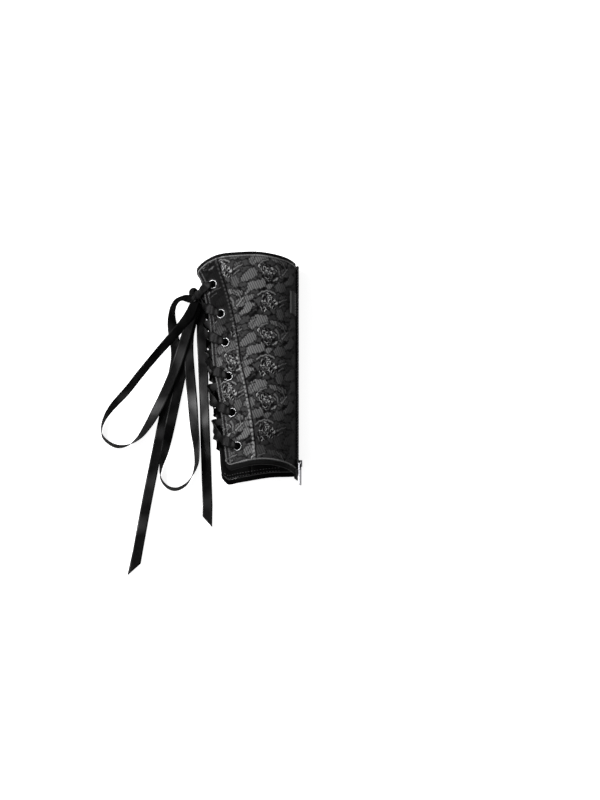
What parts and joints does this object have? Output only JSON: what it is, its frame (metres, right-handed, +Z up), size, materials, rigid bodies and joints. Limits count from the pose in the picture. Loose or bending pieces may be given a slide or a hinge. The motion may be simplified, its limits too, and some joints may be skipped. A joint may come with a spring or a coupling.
{
  "type": "lace cuff",
  "caption": "Forearm cuff of black floral lace over satin lining, laced with ribbon and silver eyelets on one side, zipped on the other, tied in a bow.",
  "frame": {"origin": "on the table, under the middle of the box round the cuff, the loops and tails of the bow left out", "axes": "+Y towards the elbow end, -Y towards the wrist, +X from the lacing to the zip, +Z up from the table to the front panel"},
  "size_m": [0.201, 0.3254, 0.044],
  "materials": {
    "lace": "black floral lace over charcoal satin lining, soft sheen",
    "satin": "black satin ribbon, narrow bright sheen",
    "tape": "matte woven tape",
    "silver": "polished silver-coloured metal",
    "dark_metal": "blackened metal, half gloss"
  },
  "bodies": {
    "cuff": {"front_eyelet_panel": "lace", "front_main_panel": "lace", "front_hem_binding": "lace", "front_top_binding": "lace", "back_eyelet_panel": "lace", "back_main_panel": "lace", "back_hem_binding": "lace", "back_top_binding": "lace", "front_eyelet_1": "silver", "front_eyelet_2": "silver", "front_eyelet_3": "silver", "front_eyelet_4": "silver", "front_eyelet_5": "silver", "front_eyelet_6": "silver", "back_eyelet_1": "silver", "back_eyelet_2": "silver", "back_eyelet_3": "silver", "back_eyelet_4": "silver", "back_eyelet_5": "silver", "back_eyelet_6": "silver", "lacing_over_2": "satin", "lacing_under_2": "satin", "lacing_over_3": "satin", "lacing_under_3": "satin", "lacing_over_4": "satin", "lacing_under_4": "satin", "lacing_over_5": "satin", "lacing_under_5": "satin", "lacing_over_6": "satin", "lacing_under_6": "satin", "lacing_bottom_bar": "satin", "front_top_strand": "satin", "back_top_strand": "satin", "bow_knot": "satin", "bow_loop_long": "satin", "bow_loop_short": "satin", "bow_tail_long": "satin", "bow_tail_short": "satin", "knot_curl": "satin", "zip_tape": "tape", "zip_teeth": "dark_metal", "zip_slider": "dark_metal", "label_tab": "tape"},
    "pull": {"zip_pull": "silver"}
  },
  "joints": [
    {"name": "zip_pull_swing", "type": "hinge", "parent": "cuff", "child": "pull", "pos_m": [0.05401, -0.097, 0.01642], "axis": [-0.3625, 0, 0.932], "range_deg": [0, 170]}
  ]
}
